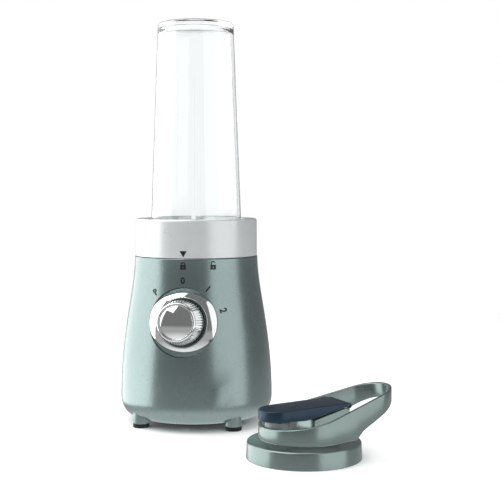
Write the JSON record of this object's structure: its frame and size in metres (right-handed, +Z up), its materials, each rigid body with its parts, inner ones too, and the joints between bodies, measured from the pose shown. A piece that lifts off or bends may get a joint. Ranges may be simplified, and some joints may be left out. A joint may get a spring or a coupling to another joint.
{
  "type": "countertop blender",
  "caption": "Compact countertop blender: tapered motor base with a front speed dial, twist-lock blade unit, inverted clear travel cup and a looped drinking lid beside it.",
  "frame": {"origin": "on the drive axis, in the plane of the foot pads' soles", "axes": "+Z up along the drive axis, -Y towards the dial, the lid stands towards +X and -Y"},
  "size_m": [0.2464, 0.2435, 0.3548],
  "materials": {
    "housing_paint": "fine metallic gray paint, satin",
    "deck_plastic": "moulded, fine texture",
    "dark_plastic": "moulded, fine texture",
    "pad_rubber": "matt black",
    "bezel_chrome": "bright plated",
    "knob_chrome": "bright plated, knurled",
    "screw_steel": "zinc plated",
    "switch_plastic": "moulded",
    "board": "solder mask",
    "board_parts": "moulded",
    "laminated_steel": "stacked laminations",
    "copper": "enamelled copper wire",
    "bracket_metal": "die cast",
    "bronze": "sintered, oiled",
    "carbon": "pressed carbon",
    "shaft_steel": "ground",
    "blade_steel": "ground stainless",
    "fan_plastic": "moulded",
    "coupling_plastic": "hard moulded",
    "collar_silver": "satin silver paint",
    "seal_rubber": "silicone, translucent gray",
    "red_seal": "silicone",
    "clear_cup": "clear copolyester, polished",
    "lid_gray": "moulded, satin",
    "spout_light": "moulded, satin",
    "cap_dark": "moulded, satin"
  },
  "bodies": {
    "base": {"base_housing": "housing_paint", "top_deck": "deck_plastic", "deck_screws": "screw_steel", "bottom_cover": "dark_plastic", "cover_screws": "screw_steel", "foot_pad_front_left": "pad_rubber", "foot_pad_front_right": "pad_rubber", "foot_pad_rear_left": "pad_rubber", "foot_pad_rear_right": "pad_rubber", "dial_bezel": "bezel_chrome", "rotary_switch": "switch_plastic", "control_board": "board", "board_components": "board_parts", "stator_core": "laminated_steel", "field_coils": "copper", "upper_bracket": "bracket_metal", "lower_bracket": "bracket_metal", "upper_bearing": "bronze", "lower_bearing": "bronze", "brush_holders": "bronze", "carbon_brushes": "carbon", "motor_dampers": "pad_rubber", "motor_screws": "screw_steel", "cord_gland": "dark_plastic", "interlock_spring_left": "screw_steel", "interlock_spring_right": "screw_steel", "interlock_switches": "dark_plastic", "deck_seal": "pad_rubber"},
    "motor_rotor": {"motor_shaft": "shaft_steel", "armature_core": "laminated_steel", "armature_windings": "copper", "commutator": "copper", "cooling_fan": "fan_plastic", "drive_coupling": "coupling_plastic"},
    "dial": {"dial_knob": "knob_chrome", "dial_cap": "knob_chrome", "dial_spindle": "shaft_steel"},
    "plunger_left": {"interlock_plunger_left": "switch_plastic"},
    "plunger_right": {"interlock_plunger_right": "switch_plastic"},
    "blade_rotor": {"blade_shaft": "shaft_steel", "upper_blades": "blade_steel", "lower_blades": "blade_steel", "blade_nut": "shaft_steel", "driven_coupling": "coupling_plastic"},
    "blade_unit": {"blade_collar": "collar_silver", "blade_hub": "dark_plastic", "shaft_bush": "bronze", "hub_nut": "bracket_metal", "hub_seal": "red_seal"},
    "cup_seal": {"cup_gasket": "seal_rubber"},
    "cup": {"travel_cup": "clear_cup"},
    "lid": {"lid_cap": "lid_gray", "lid_handle": "lid_gray", "lid_gasket": "seal_rubber", "drink_spout": "spout_light", "lid_hinge_pin": "shaft_steel"},
    "flip_cap": {"flip_cap": "cap_dark", "spout_plug": "pad_rubber"}
  },
  "joints": [
    {"name": "motor_spin", "type": "hinge", "parent": "base", "child": "motor_rotor", "pos_m": [0, 0, 0.066], "axis": [0, 0, 1], "continuous": true},
    {"name": "dial_turn", "type": "hinge", "parent": "base", "child": "dial", "pos_m": [0, -0.05416, 0.09402], "axis": [0, 0.9914, -0.1305], "range_deg": [-45, 75]},
    {"name": "blade_unit_twist", "type": "hinge", "parent": "base", "child": "blade_unit", "pos_m": [0, 0, 0.15], "axis": [0, 0, 1], "range_deg": [0, 27]},
    {"name": "blade_spin", "type": "hinge", "parent": "base", "child": "blade_rotor", "pos_m": [0, 0, 0.15], "axis": [0, 0, 1], "continuous": true},
    {"name": "plunger_left_rise", "type": "slide", "parent": "base", "child": "plunger_left", "axis": [0, 0, 1], "range_m": [0, 0.003], "deforming": ["interlock_spring_left"]},
    {"name": "plunger_right_rise", "type": "slide", "parent": "base", "child": "plunger_right", "axis": [0, 0, 1], "range_m": [0, 0.003], "deforming": ["interlock_spring_right"]},
    {"name": "cup_rise", "type": "slide", "parent": "blade_unit", "child": "cup_seal", "axis": [0, 0, 1], "range_m": [0, 0.0064]},
    {"name": "cup_turn", "type": "hinge", "parent": "cup_seal", "child": "cup", "pos_m": [0, 0, 0.17], "axis": [0, 0, 1], "range_deg": [0, 380]},
    {"name": "lid_lift", "type": "slide", "parent": "base", "child": "lid", "axis": [0, 0, 1], "range_m": [0, 0.12]},
    {"name": "flip_cap_open", "type": "hinge", "parent": "lid", "child": "flip_cap", "pos_m": [0.13797, -0.10708, 0.04], "axis": [-0.5736, 0.8192, 0], "range_deg": [0, 130]}
  ],
  "couplings": [
    {"joint": "blade_spin", "follows": "motor_spin", "ratio": 1},
    {"joint": "plunger_left_rise", "follows": "blade_unit_twist", "m_per_rad": 0.0063661},
    {"joint": "plunger_right_rise", "follows": "blade_unit_twist", "m_per_rad": 0.0063661},
    {"joint": "cup_rise", "follows": "cup_turn", "m_per_rad": 0.00095493}
  ]
}
